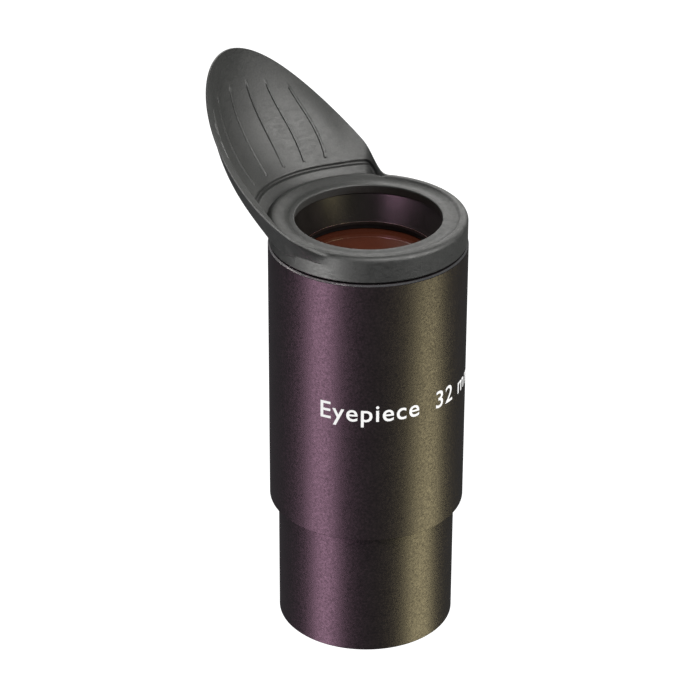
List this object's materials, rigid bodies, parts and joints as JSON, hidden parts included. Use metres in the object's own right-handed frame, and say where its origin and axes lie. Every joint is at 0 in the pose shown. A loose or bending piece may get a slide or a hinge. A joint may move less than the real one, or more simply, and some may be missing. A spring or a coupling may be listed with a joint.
{
  "type": "telescope eyepiece",
  "caption": "Push-fit telescope eyepiece: plain black barrel and housing around a lens cell of cemented doublets, with a rubber eyecup that turns and a winged light shield that folds outward.",
  "frame": {"origin": "on the optical axis at the open end of the barrel", "axes": "+Z along the optical axis towards the eye, -X towards the eyecup's wing"},
  "size_m": [0.0462, 0.0456, 0.1062],
  "materials": {
    "anodised_body": "fine bead-blasted and black anodised, satin",
    "anodised_cone": "turned and black anodised, satin, bright thin edge at the lens rim",
    "anodised_inner": "matt black anodised against stray light",
    "coated_glass": "polished, multi-coated with an amber reflection",
    "black_shim": "matt black polyester film",
    "eyecup_rubber": "soft matt black rubber, moulded"
  },
  "bodies": {
    "optical_body": {"barrel": "anodised_body", "housing": "anodised_body", "eye_bezel": "anodised_cone", "lens_cell": "anodised_inner", "field_stop": "anodised_inner", "baffle_tube": "anodised_inner", "lens_spacer": "anodised_inner", "lens_retaining_ring": "anodised_inner", "cell_lock_ring": "anodised_inner", "eye_flint": "coated_glass", "eye_crown": "coated_glass", "field_flint": "coated_glass", "field_crown": "coated_glass", "eye_shim": "black_shim", "field_shim": "black_shim"},
    "eyecup": {"eyecup_ring": "eyecup_rubber"},
    "wing": {"eyecup_wing": "eyecup_rubber"}
  },
  "joints": [
    {"name": "eyecup_turn", "type": "hinge", "parent": "optical_body", "child": "eyecup", "pos_m": [0, 0, 0.0764], "axis": [0, 0, 1], "continuous": true},
    {"name": "wing_fold", "type": "hinge", "parent": "eyecup", "child": "wing", "pos_m": [-0.0212, 0, 0.08115], "axis": [0, -1, 0], "range_deg": [0, 45], "stiffness_Nm_per_rad": 0.03}
  ]
}
